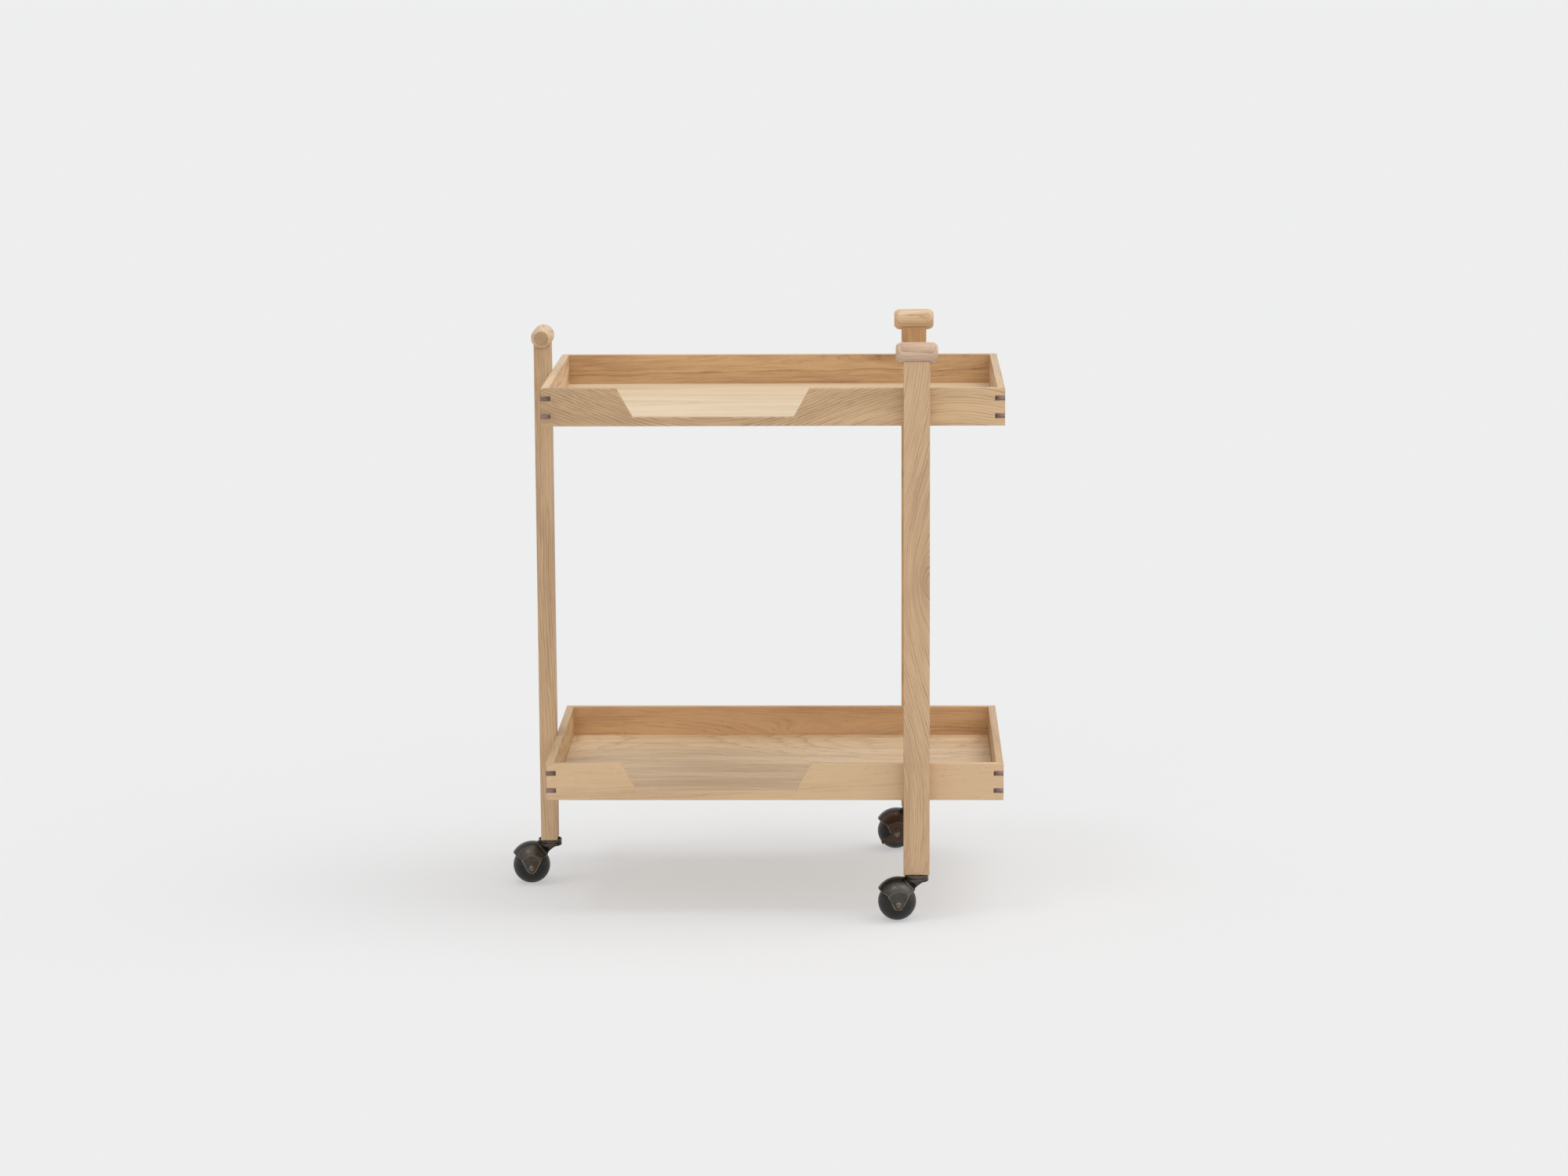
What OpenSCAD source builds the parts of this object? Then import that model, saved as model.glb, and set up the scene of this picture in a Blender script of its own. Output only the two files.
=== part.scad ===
// Three-legged oak trolley: two shallow trays with walnut corner splines, carried by three
// flat legs. Each leg has a turned handle lying on its top and a hooded ball castor below.
// Millimetres. +Z is up, +X is to the right and +Y to the back, seen from the front.
// The origin is on the ground, at the middle of the box round the whole trolley.

/* [Trays] */
// Length of a tray, left to right
tray_len = 600; // [540:1:720]
// Depth of a tray, front to back
tray_dep = 380; // [340:1:460]
// Height of the rails round a tray
rail_h = 49; // [46:0.5:60]
// Thickness of the rails
rail_t = 10; // [9:0.5:14]
// Height of the lower tray's bottom edge above the ground
lower_tray_z = 157.5; // [130:0.5:200]
// Height of the upper tray's bottom edge above the ground
upper_tray_z = 652.5; // [560:0.5:720]
// Thickness of the floor panels
panel_t = 6; // [5:0.5:6.5]
// Height of a floor panel's underside above its tray's bottom edge
panel_rise = 3.5; // [3:0.5:4]
// Thickness of the tongue round a floor panel
tongue_t = 3; // [2.5:0.5:4]
// How far that tongue runs into the rails
panel_inset = 3; // [2:0.5:4]
// Gap between the rails and the part of a floor panel that stands above its tongue
panel_gap = 0.2; // [0.1:0.05:0.5]
// Room between a tongue's edge and the bottom of its groove
groove_room = 0.5; // [0.3:0.1:1]
// Play above a tongue in its groove
groove_play = 0.2; // [0.1:0.05:0.4]

/* [Front cut-outs] */
// Width of a cut-out at the rail's top edge
cutout_top_w = 250; // [220:1:280]
// Width of a cut-out at its bottom
cutout_bottom_w = 209; // [170:1:218]
// Depth of a cut-out below the rail's top edge
cutout_d = 37.5; // [25:0.5:38]
// Distance of a cut-out's middle to the left of the tray's middle
cutout_offset = 77; // [0:1:100]

/* [Corner splines] */
// Thickness of a spline
spline_t = 6.5; // [4:0.5:6.5]
// Length of a spline along the face of either rail
spline_len = 13; // [9:0.5:13]
// Distance of a spline's middle from the rail's nearer edge
spline_edge = 13; // [13:0.5:16]

/* [Legs] */
// Width of a leg, along the rail that it stands against
leg_w = 34; // [30:0.5:42]
// Thickness of a leg, out from the tray
leg_t = 22; // [19:0.5:26]
// Distance of the two right-hand legs' middles from the trays' right end
leg_inset = 114; // [80:1:150]

/* [Handles] */
// Diameter of a turned handle
handle_d = 28; // [26:0.5:34]
// Length of a handle
handle_len = 54; // [46:1:70]
// Length of the rounding at a handle's end, along its axis
handle_round_len = 8; // [6:0.5:10]
// Depth of that rounding, in from the handle's side
handle_round_d = 4.7; // [2:0.1:5.5]
// Height of a handle's axis above the upper tray's rim
handle_rise = 46.5; // [35:0.5:70]
// Depth of the saddle in a leg's top, in which the handle lies
saddle_d = 4; // [2:0.5:5]

/* [Joinery] */
// Diameter of the hidden dowels and pegs
dowel_d = 8; // [6:0.5:8]
// Length of a dowel between a leg and a rail
dowel_len = 22; // [16:0.5:24]
// How far a dowel runs into its rail
dowel_bite = 7; // [5:0.5:7.5]
// Distance between the two dowels of a joint
dowel_pitch = 20; // [14:0.5:20]
// Height of a pair's middle above the tray's bottom edge
dowel_z = 27.5; // [26:0.5:30]
// Length of the peg between a leg and its handle
peg_len = 30; // [20:1:40]
// How far a peg runs into the handle
peg_bite = 10; // [6:0.5:14]
// Radial gap of a glued or pressed round piece in its hole
fit_gap = 0.05; // [0.02:0.01:0.1]
// Room past the end of a dowel, peg or socket in a blind hole
end_room = 0.5; // [0.2:0.1:1]

/* [Castor wheels] */
// Diameter of a ball wheel
ball_d = 50; // [46:0.5:52]
// Width across the flats on a ball wheel's two sides
ball_w = 46.8; // [40:0.2:47]
// Distance of a ball's middle from its swivel axis
trail = 25.5; // [25:0.5:27]
// Angle that the castors are swung at rest, from trailing straight left
castor_turn = 4; // [0:1:12]
// Diameter of an axle
axle_d = 6; // [5:0.5:7]
// Diameter of an axle's riveted head
axle_head_d = 8.5; // [8:0.5:10]
// Height of an axle's riveted head
axle_head_h = 1.2; // [0.8:0.1:1.6]
// Radial clearance where something turns on a pin
run_gap = 0.05; // [0.03:0.01:0.1]

/* [Castor hoods] */
// Wall thickness of a hood
hood_wall = 1.6; // [1.2:0.1:2]
// Clearance between a ball and its hood, seen from the side
hood_gap = 4; // [3.5:0.1:5]
// Clearance between a ball's flat and the hood's side
hub_gap = 1; // [0.5:0.1:2]
// How far the hood's middle lies from the ball's, towards the swivel axis
hood_lead = 1.1; // [0.5:0.1:2.5]
// How far the hood's middle lies above the ball's
hood_lift = 1.7; // [1:0.1:2]
// Angle of the hood's lip above level, at the ball's middle
lip_angle = 35; // [30:0.1:45]
// Distance of a wing's shoulders from the ball's middle, sideways
shoulder_x = 14; // [12:0.1:15]
// Height of a wing's shoulders above the ball's middle
shoulder_z = 12.5; // [10:0.1:13]
// Radius of a wing's tip round the axle
wing_tip_r = 7; // [6.5:0.1:8]

/* [Castor swivels] */
// Diameter of the swivel head and its race plate
head_d = 31.6; // [30:0.2:33]
// Height of the swivel head's rim
head_h = 4.1; // [3.5:0.1:5]
// Height of the swivel head's top above the ball's top
head_rise = 6.5; // [6.5:0.1:8]
// Gap between the swivel head and the race plate
race_gap = 0.5; // [0.4:0.1:0.8]
// Thickness of the race plate
race_t = 2; // [2:0.1:3]
// Height of the race plate's turned-up rim
rim_h = 2; // [1:0.1:2.2]
// Thickness of that rim
rim_t = 1.2; // [1:0.1:2]
// Radius of the circle on which the bearing balls run
race_r = 11; // [10:0.1:12]
// Diameter of a bearing ball
bearing_d = 3; // [2.5:0.1:3]
// Number of balls in a swivel bearing
bearing_count = 12; // [8:1:14]
// Clearance round a bearing ball in its groove
bearing_gap = 0.1; // [0.05:0.05:0.15]
// Diameter of a stem
stem_d = 8; // [7:0.5:8]
// Length of a stem above its collar
stem_len = 26; // [20:1:30]
// Diameter of a stem's collar
collar_d = 13; // [12:0.5:15]
// Height of a stem's collar
collar_h = 1.8; // [1.5:0.1:3]
// Diameter of a stem's riveted lower head
stem_head_d = 11; // [10:0.5:12]
// Height of a stem's riveted lower head
stem_head_h = 1.8; // [1.2:0.1:2]
// Length of the swivel head's bore round a stem
stem_bore_len = 5; // [4.6:0.1:5.2]
// Clearance round a stem's riveted head
stem_head_gap = 0.3; // [0.2:0.05:0.4]
// Radius of the hollow curve under a hood's neck
neck_arc_r = 26; // [24:0.1:28]
// How far that curve would rise past the swivel head's underside, where it ends
neck_rise = 3.1; // [2.5:0.1:3.5]
// Radius of the neck at its lower end
neck_low_r = 10; // [8:0.5:12]
// Clearance between a ball and the neck
neck_gap = 1; // [0.8:0.1:1.2]
// Wall of the neck at the throat, where it meets the curve
throat_wall = 1.8; // [1:0.1:2.2]
// Angle of the throat above level, at the ball's middle
throat_angle = 38.3; // [36:0.1:40]

/* [Castor sockets] */
// Outer diameter of a socket sleeve
socket_d = 11; // [10.5:0.5:12]
// Length of a socket sleeve in the leg
socket_len = 28; // [26:1:34]
// Diameter of a socket's flange
flange_d = 16; // [14:0.5:20]
// Thickness of a socket's flange
flange_t = 1.2; // [1:0.1:2]

/* [Brake lever] */
// Thickness of the lever
lever_t = 1.5; // [1.2:0.1:2]
// Gap on either face of the lever
lever_gap = 0.15; // [0.1:0.05:0.3]
// Radius of the lever's disc
lever_r = 10.7; // [9:0.1:11]
// Distance of the disc's middle from the axle, towards the swivel axis
lever_lead = 1; // [0:0.1:2]
// How far the disc's middle lies below the axle
lever_drop = 2.5; // [1:0.1:3]
// Distance of the tail's end from the axle
tail_len = 24; // [20:0.5:25]
// Angle of the tail's end below level, seen from the axle
tail_angle = 25.8; // [20:0.2:28]
// Width of the tail at its end
tail_w = 4.5; // [4:0.5:9]
// Width of the tail at the disc
tail_root_w = 18.5; // [9:0.5:19]
// How far the tail's root lies below the disc's middle
tail_root_drop = 1.5; // [1:0.1:4]
// How far the foot pad at the tail's end stands out
pad_reach = 4; // [2:0.5:5]

/* [Hidden] */
$fn = 96;

oak = "burlywood";
pale_oak = "wheat";
walnut = "#5a4038";
beech = "navajowhite";
bronze = "#5b4c3e";
steel = "silver";
rubber = "#2c2a29";

cut = 1; // how far a cutting shape runs past the face that it cuts

// Legs: place of the middle, and turn. A leg's own +Y points at the tray.
left_place = [-(tray_len + leg_t) / 2, 0, -90];
front_place = [tray_len / 2 - leg_inset, -(tray_dep + leg_t) / 2, 0];
rear_place = [front_place[0], -front_place[1], 180];
leg_places = [left_place, front_place, rear_place];

// Heights, from the ball wheels up
ball_r = ball_d / 2;
head_r = head_d / 2;
head_top = ball_r + head_rise; // this and the next ones are above the ball's middle
head_low = head_top - head_h;
plate_low = head_top + race_gap;
plate_top = plate_low + race_t;
collar_top = plate_top + collar_h;
leg_end = collar_top + flange_t;
leg_low_z = ball_r + leg_end; // from here on above the ground
upper_rim_z = upper_tray_z + rail_h;
handle_z = upper_rim_z + handle_rise;
leg_top_z = handle_z - handle_d / 2 + saddle_d;
saddle_floor_z = handle_z - handle_d / 2;

// Trays
groove_d = panel_inset + groove_room;
groove_h = tongue_t + groove_play;
dowel_heights = [dowel_z - dowel_pitch / 2, dowel_z + dowel_pitch / 2];
spline_heights = [spline_edge, rail_h - spline_edge];

// Hood and neck, with the ball's middle as origin and the swivel axis at x = trail
hood_r = ball_r + hood_gap + hood_wall;
hood_half_w = ball_w / 2 + hub_gap + hood_wall;
neck_clear_r = ball_r + neck_gap;
throat = (neck_clear_r + throat_wall) * [cos(throat_angle), sin(throat_angle)];
arc_z = head_low + neck_rise - neck_arc_r;
arc_x = throat[0] + sqrt(neck_arc_r * neck_arc_r - (throat[1] - arc_z) * (throat[1] - arc_z));
stem_bore_low = head_top - stem_bore_len;
stem_head_top = stem_bore_low - race_gap / 2;
shoulder_dist = sqrt(shoulder_x * shoulder_x + shoulder_z * shoulder_z);
// Direction, from the axle, in which a wing's straight edge touches the tip's round end
tangent_angle = acos(wing_tip_r / shoulder_dist) - atan2(shoulder_z, shoulder_x);
lever_face = hood_half_w + lever_gap;
disc_middle = [lever_lead, -lever_drop];
tail_dir = [-cos(tail_angle), -sin(tail_angle)];
tail_side = [-tail_dir[1], tail_dir[0]];

// The middle of the box round the trolley goes to the origin: its left end is a ball wheel's
left_reach = -left_place[0] + trail * cos(castor_turn) + ball_r;
shift = [(left_reach - tray_len / 2) / 2, trail * sin(castor_turn), 0];

// ---- places ----

module in_place() {
    translate(shift) children();
}

module at_leg(place) {
    in_place() translate([place[0], place[1], 0]) rotate([0, 0, place[2]]) children();
}

// Children are drawn round the ball's middle, with the swivel axis at x = trail
module at_castor(place) {
    in_place()
        translate([place[0], place[1], ball_r])
            rotate([0, 0, castor_turn])
                translate([-trail, 0, 0]) children();
}

// ---- small shapes ----

// A cylinder along Y, centred on the origin
module bar_y(r, len) {
    rotate([90, 0, 0]) cylinder(r = r, h = len, center = true);
}

// A flat outline drawn in X and Z, made solid along Y between two depths
module side_plate(y0, y1) {
    translate([0, y1, 0]) rotate([90, 0, 0]) linear_extrude(y1 - y0) children();
}

// ---- trays ----

// A rail along X with mitred ends, its outer face on y = 0 and its bottom edge on z = 0
module rail(len) {
    difference() {
        linear_extrude(rail_h)
            polygon([[-len / 2, 0], [len / 2, 0], [len / 2 - rail_t, rail_t], [-len / 2 + rail_t, rail_t]]);
        translate([-len / 2, rail_t - groove_d, panel_rise]) cube([len, groove_d + cut, groove_h]);
        for (side = [-1, 1], z = spline_heights)
            translate([side * len / 2, 0, z - spline_t / 2]) spline_half(side);
    }
}

// The room of one spline at a corner, seen from one of its two rails
module spline_half(side) {
    linear_extrude(spline_t)
        polygon([[cut * side, -cut], [-side * (spline_len + cut), -cut], [cut * side, spline_len + cut]]);
}

module cutout() {
    translate([-cutout_offset, rail_t + cut, 0]) rotate([90, 0, 0]) linear_extrude(rail_t + 2 * cut)
        polygon([
            [-cutout_bottom_w / 2, rail_h - cutout_d], [cutout_bottom_w / 2, rail_h - cutout_d],
            [cutout_top_w / 2, rail_h], [cutout_top_w / 2, rail_h + cut],
            [-cutout_top_w / 2, rail_h + cut], [-cutout_top_w / 2, rail_h]
        ]);
}

// Blind holes for one leg's pair of dowels, at x in the rail's own place
module rail_dowel_holes(x) {
    for (z = dowel_heights)
        translate([x, (dowel_bite + end_room - cut) / 2, z])
            bar_y(dowel_d / 2 + fit_gap, dowel_bite + end_room + cut);
}

module front_rail(tray_z) {
    color(oak) in_place() translate([0, -tray_dep / 2, tray_z]) difference() {
        rail(tray_len);
        cutout();
        rail_dowel_holes(front_place[0]);
    }
}

module back_rail(tray_z) {
    color(oak) in_place() translate([0, tray_dep / 2, tray_z]) rotate([0, 0, 180]) difference() {
        rail(tray_len);
        rail_dowel_holes(-rear_place[0]);
    }
}

module left_rail(tray_z) {
    color(oak) in_place() translate([-tray_len / 2, 0, tray_z]) rotate([0, 0, -90]) difference() {
        rail(tray_dep);
        rail_dowel_holes(0);
    }
}

module right_rail(tray_z) {
    color(oak) in_place() translate([tray_len / 2, 0, tray_z]) rotate([0, 0, 90]) rail(tray_dep);
}

// A board whose edges lie at the given distance inside the tray's outer faces
module floor_board(margin, thickness) {
    len = tray_len - 2 * margin;
    dep = tray_dep - 2 * margin;
    translate([-len / 2, -dep / 2, 0]) cube([len, dep, thickness]);
}

// The floor lies in grooves by its tongue and fills the tray between the rails
module floor_panel(tray_z) {
    color(pale_oak) in_place() translate([0, 0, tray_z + panel_rise]) {
        floor_board(rail_t - panel_inset, tongue_t);
        floor_board(rail_t + panel_gap, panel_t);
    }
}

// Two triangular splines let into each mitred corner
module corner_splines(tray_z) {
    color(walnut) in_place()
        for (sx = [-1, 1], sy = [-1, 1], z = spline_heights)
            translate([sx * tray_len / 2, sy * tray_dep / 2, tray_z + z - spline_t / 2])
                linear_extrude(spline_t) polygon([[0, 0], [-sx * spline_len, 0], [0, -sy * spline_len]]);
}

// ---- legs and handles ----

// A leg stands at its own origin with its width along X; the tray is on its +Y side
module leg() {
    difference() {
        translate([-leg_w / 2, -leg_t / 2, leg_low_z]) cube([leg_w, leg_t, leg_top_z - leg_low_z]);
        translate([0, 0, handle_z]) rotate([0, 90, 0])
            cylinder(r = handle_d / 2 + fit_gap, h = leg_w + 2 * cut, center = true);
        for (tray_z = [lower_tray_z, upper_tray_z]) leg_dowels(tray_z, fit_gap, end_room);
        handle_peg(fit_gap, end_room);
        translate([0, 0, leg_low_z - cut])
            cylinder(r = socket_d / 2 + fit_gap, h = socket_len + end_room + cut);
    }
}

// The pair of dowels between a leg and a tray; gap and room are added for their holes
module leg_dowels(tray_z, gap = 0, room = 0) {
    inner_y = leg_t / 2 - (dowel_len - dowel_bite) - room;
    outer_y = leg_t / 2 + dowel_bite + room;
    for (z = dowel_heights)
        translate([0, (inner_y + outer_y) / 2, tray_z + z]) bar_y(dowel_d / 2 + gap, outer_y - inner_y);
}

// The upright peg between a leg and its handle; gap and room are added for its holes
module handle_peg(gap = 0, room = 0) {
    translate([0, 0, saddle_floor_z - (peg_len - peg_bite) - room])
        cylinder(r = dowel_d / 2 + gap, h = peg_len + 2 * room);
}

// A turned handle lies along X on its leg. An arc rounds each end, in from its side to its flat face.
module handle() {
    steps = 8;
    side_r = handle_d / 2;
    straight = handle_len / 2 - handle_round_len;
    bend = 2 * atan(handle_round_d / handle_round_len);
    arc_r = handle_round_len / sin(bend);
    end_curve = [
        for (i = [0:steps])
            [side_r - arc_r * (1 - cos(bend * i / steps)), straight + arc_r * sin(bend * i / steps)]
    ];
    half = concat(end_curve, [[0, handle_len / 2]]);
    other_half = [for (i = [len(half) - 1:-1:0]) [half[i][0], -half[i][1]]];
    difference() {
        translate([0, 0, handle_z]) rotate([0, 90, 0]) rotate_extrude() polygon(concat(half, other_half));
        handle_peg(fit_gap, end_room);
    }
}

module tray_leg_dowels(tray_z) {
    color(beech) for (place = leg_places) at_leg(place) leg_dowels(tray_z);
}

// ---- castors ----

// Sleeve in the leg's end, with a flange under the leg
module castor_socket() {
    translate([trail, 0, 0]) difference() {
        union() {
            translate([0, 0, collar_top]) cylinder(d = flange_d, h = flange_t);
            translate([0, 0, leg_end]) cylinder(d = socket_d, h = socket_len);
        }
        translate([0, 0, collar_top - cut])
            cylinder(r = stem_d / 2 + fit_gap, h = flange_t + socket_len + 2 * cut);
    }
}

// Stem with a collar under the socket; its riveted lower head carries the hood
module castor_stem() {
    translate([trail, 0, 0]) {
        translate([0, 0, stem_head_top - stem_head_h])
            cylinder(d = stem_d, h = collar_top + stem_len - (stem_head_top - stem_head_h));
        translate([0, 0, stem_head_top - stem_head_h]) cylinder(d = stem_head_d, h = stem_head_h);
        translate([0, 0, plate_top]) cylinder(d = collar_d, h = collar_h);
    }
}

// The groove in which the bearing balls run
module ball_track() {
    translate([trail, 0, head_top + race_gap / 2])
        rotate_extrude() translate([race_r, 0]) circle(r = bearing_d / 2 + bearing_gap);
}

// Plate fixed on the stem, shaped like a shallow dish
module castor_race_plate() {
    difference() {
        translate([trail, 0, plate_low]) cylinder(d = head_d, h = race_t + rim_h);
        translate([trail, 0, plate_top]) cylinder(d = head_d - 2 * rim_t, h = rim_h + cut);
        translate([trail, 0, plate_low - cut]) cylinder(r = stem_d / 2 + fit_gap, h = race_t + 2 * cut);
        ball_track();
    }
}

module castor_bearing_balls() {
    translate([trail, 0, head_top + race_gap / 2])
        for (i = [0:bearing_count - 1])
            rotate([0, 0, 360 * i / bearing_count]) translate([race_r, 0, 0]) sphere(d = bearing_d);
}

// Side view of the hood and neck: lip, V-shaped wing with a round tip, throat and hollow neck
module hood_outline() {
    far = 2 * hood_r;
    lip = hood_r * [-cos(lip_angle), sin(lip_angle)];
    shoulder = [-shoulder_x, shoulder_z];
    beyond_lip = lip + (lip - shoulder) * 0.5;
    tip = wing_tip_r * [cos(tangent_angle), -sin(tangent_angle)];
    difference() {
        union() {
            circle(r = wing_tip_r);
            polygon([
                beyond_lip, shoulder, [-tip[0], tip[1]], tip, [shoulder_x, shoulder_z],
                throat, [far, throat[1]], [far, far], [beyond_lip[0], far]
            ]);
        }
        intersection() {
            translate([arc_x, arc_z]) circle(r = neck_arc_r, $fn = 144);
            translate([0, head_low - far]) square([2 * far, far]);
        }
    }
}

// Hood: a ball-shaped shell with flat sides, joined by a neck to the round swivel head
module castor_hood() {
    difference() {
        intersection() {
            side_plate(-hood_half_w, hood_half_w) hood_outline();
            union() {
                hood_shell();
                hood_neck();
            }
        }
        between_wings() sphere(r = neck_clear_r);
        bar_y(axle_d / 2 + fit_gap, 2 * hood_half_w + 2 * cut);
        translate([trail, 0, 0]) {
            translate([0, 0, stem_bore_low - cut])
                cylinder(r = stem_d / 2 + run_gap, h = stem_bore_len + 2 * cut);
            translate([0, 0, throat[1] - cut])
                cylinder(r = stem_head_d / 2 + stem_head_gap, h = stem_bore_low - throat[1] + cut);
        }
        ball_track();
    }
}

module hood_shell() {
    translate([hood_lead, 0, hood_lift]) difference() {
        sphere(r = hood_r);
        between_wings() sphere(r = hood_r - hood_wall);
    }
}

// What of its children lies between the inner faces of the two wings
module between_wings() {
    intersection() {
        children();
        cube([2 * hood_r, 2 * (hood_half_w - hood_wall), 2 * hood_r], center = true);
    }
}

module hood_neck() {
    translate([trail, 0, head_low]) cylinder(r = head_r, h = head_h);
    translate([trail, 0, throat[1]]) cylinder(r1 = neck_low_r, r2 = head_r, h = head_low - throat[1]);
}

// Axle riveted over at both ends; extra is the room for a lever on the near side
module castor_axle(extra = 0) {
    translate([0, -extra / 2, 0]) bar_y(axle_d / 2, 2 * hood_half_w + extra);
    rivet_head(hood_half_w, -90);
    rivet_head(-hood_half_w - extra, 90);
}

module rivet_head(y, turn) {
    translate([0, y, 0]) rotate([turn, 0, 0])
        cylinder(r1 = axle_head_d / 2, r2 = axle_d / 2, h = axle_head_h);
}

// Ball with two flat sides and a bore, turned about the axle
module castor_wheel() {
    bore_r = axle_d / 2 + run_gap;
    rotate([90, 0, 0]) rotate_extrude() intersection() {
        circle(r = ball_r);
        translate([bore_r, -ball_w / 2]) square([ball_r, ball_w]);
    }
}

// Flat lever on the near wing of the rear castor: a disc round the axle, and a tail with a foot pad
module brake_lever() {
    root = disc_middle - [0, tail_root_drop];
    root_edge = tail_root_w / 2 * tail_side;
    end = tail_len * tail_dir;
    end_edge = tail_w / 2 * tail_side;
    pad = -lever_t * tail_dir;
    difference() {
        union() {
            side_plate(-lever_face - lever_t, -lever_face) {
                translate(disc_middle) circle(r = lever_r);
                polygon([root + root_edge, end + end_edge, end - end_edge, root - root_edge]);
            }
            side_plate(-lever_face - lever_t - pad_reach, -lever_face)
                polygon([end + end_edge, end - end_edge, end - end_edge + pad, end + end_edge + pad]);
        }
        bar_y(axle_d / 2 + run_gap, 2 * hood_r + 4 * pad_reach);
    }
}

// ---- one module for each piece ----

module upper_front_rail() { front_rail(upper_tray_z); }
module upper_back_rail() { back_rail(upper_tray_z); }
module upper_left_rail() { left_rail(upper_tray_z); }
module upper_right_rail() { right_rail(upper_tray_z); }
module upper_floor_panel() { floor_panel(upper_tray_z); }
module upper_corner_splines() { corner_splines(upper_tray_z); }

module lower_front_rail() { front_rail(lower_tray_z); }
module lower_back_rail() { back_rail(lower_tray_z); }
module lower_left_rail() { left_rail(lower_tray_z); }
module lower_right_rail() { right_rail(lower_tray_z); }
module lower_floor_panel() { floor_panel(lower_tray_z); }
module lower_corner_splines() { corner_splines(lower_tray_z); }

module left_leg() { color(oak) at_leg(left_place) leg(); }
module front_leg() { color(oak) at_leg(front_place) leg(); }
module rear_leg() { color(oak) at_leg(rear_place) leg(); }

module left_handle() { color(pale_oak) at_leg(left_place) handle(); }
module front_handle() { color(pale_oak) at_leg(front_place) handle(); }
module rear_handle() { color(pale_oak) at_leg(rear_place) handle(); }

module upper_leg_dowels() { tray_leg_dowels(upper_tray_z); }
module lower_leg_dowels() { tray_leg_dowels(lower_tray_z); }
module handle_pegs() { color(beech) for (place = leg_places) at_leg(place) handle_peg(); }

module left_castor_socket() { color(steel) at_castor(left_place) castor_socket(); }
module left_castor_stem() { color(steel) at_castor(left_place) castor_stem(); }
module left_castor_race_plate() { color(bronze) at_castor(left_place) castor_race_plate(); }
module left_castor_bearing_balls() { color(steel) at_castor(left_place) castor_bearing_balls(); }
module left_castor_hood() { color(bronze) at_castor(left_place) castor_hood(); }
module left_castor_axle() { color(bronze) at_castor(left_place) castor_axle(); }
module left_castor_wheel() { color(rubber) at_castor(left_place) castor_wheel(); }

module front_castor_socket() { color(steel) at_castor(front_place) castor_socket(); }
module front_castor_stem() { color(steel) at_castor(front_place) castor_stem(); }
module front_castor_race_plate() { color(bronze) at_castor(front_place) castor_race_plate(); }
module front_castor_bearing_balls() { color(steel) at_castor(front_place) castor_bearing_balls(); }
module front_castor_hood() { color(bronze) at_castor(front_place) castor_hood(); }
module front_castor_axle() { color(bronze) at_castor(front_place) castor_axle(); }
module front_castor_wheel() { color(rubber) at_castor(front_place) castor_wheel(); }

module rear_castor_socket() { color(steel) at_castor(rear_place) castor_socket(); }
module rear_castor_stem() { color(steel) at_castor(rear_place) castor_stem(); }
module rear_castor_race_plate() { color(bronze) at_castor(rear_place) castor_race_plate(); }
module rear_castor_bearing_balls() { color(steel) at_castor(rear_place) castor_bearing_balls(); }
module rear_castor_hood() { color(bronze) at_castor(rear_place) castor_hood(); }
module rear_castor_axle() { color(bronze) at_castor(rear_place) castor_axle(lever_t + 2 * lever_gap); }
module rear_castor_wheel() { color(rubber) at_castor(rear_place) castor_wheel(); }
module rear_castor_brake_lever() { color(bronze) at_castor(rear_place) brake_lever(); }

upper_front_rail();
upper_back_rail();
upper_left_rail();
upper_right_rail();
upper_floor_panel();
upper_corner_splines();
lower_front_rail();
lower_back_rail();
lower_left_rail();
lower_right_rail();
lower_floor_panel();
lower_corner_splines();
left_leg();
front_leg();
rear_leg();
left_handle();
front_handle();
rear_handle();
upper_leg_dowels();
lower_leg_dowels();
handle_pegs();
left_castor_socket();
left_castor_stem();
left_castor_race_plate();
left_castor_bearing_balls();
left_castor_hood();
left_castor_axle();
left_castor_wheel();
front_castor_socket();
front_castor_stem();
front_castor_race_plate();
front_castor_bearing_balls();
front_castor_hood();
front_castor_axle();
front_castor_wheel();
rear_castor_socket();
rear_castor_stem();
rear_castor_race_plate();
rear_castor_bearing_balls();
rear_castor_hood();
rear_castor_axle();
rear_castor_wheel();
rear_castor_brake_lever();
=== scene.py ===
import math

import bmesh
import bpy
from mathutils import Euler, Matrix, Vector


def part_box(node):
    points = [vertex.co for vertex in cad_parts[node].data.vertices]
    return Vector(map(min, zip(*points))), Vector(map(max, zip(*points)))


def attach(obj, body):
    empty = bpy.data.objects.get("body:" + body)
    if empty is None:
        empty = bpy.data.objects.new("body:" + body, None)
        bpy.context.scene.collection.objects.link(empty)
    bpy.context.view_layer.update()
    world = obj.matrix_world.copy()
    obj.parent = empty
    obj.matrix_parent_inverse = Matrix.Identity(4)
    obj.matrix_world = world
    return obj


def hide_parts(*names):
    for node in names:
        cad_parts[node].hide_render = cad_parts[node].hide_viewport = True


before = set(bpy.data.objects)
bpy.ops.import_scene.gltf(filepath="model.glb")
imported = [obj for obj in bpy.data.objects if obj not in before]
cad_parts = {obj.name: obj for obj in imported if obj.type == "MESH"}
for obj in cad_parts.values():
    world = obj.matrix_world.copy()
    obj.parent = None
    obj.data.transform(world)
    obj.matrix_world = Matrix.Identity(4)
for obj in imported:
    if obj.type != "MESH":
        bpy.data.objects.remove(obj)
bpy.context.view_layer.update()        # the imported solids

# An oak trolley: two shallow trays on three flat legs, with ball castors in bronze hoods.
# Pieces are modelled in millimetres and placed in metres, where the frame has them.

mm = 0.001
white = (1, 1, 1, 1)
print("frame loaded,", len(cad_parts), "solids")


# nodes of the materials

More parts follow.
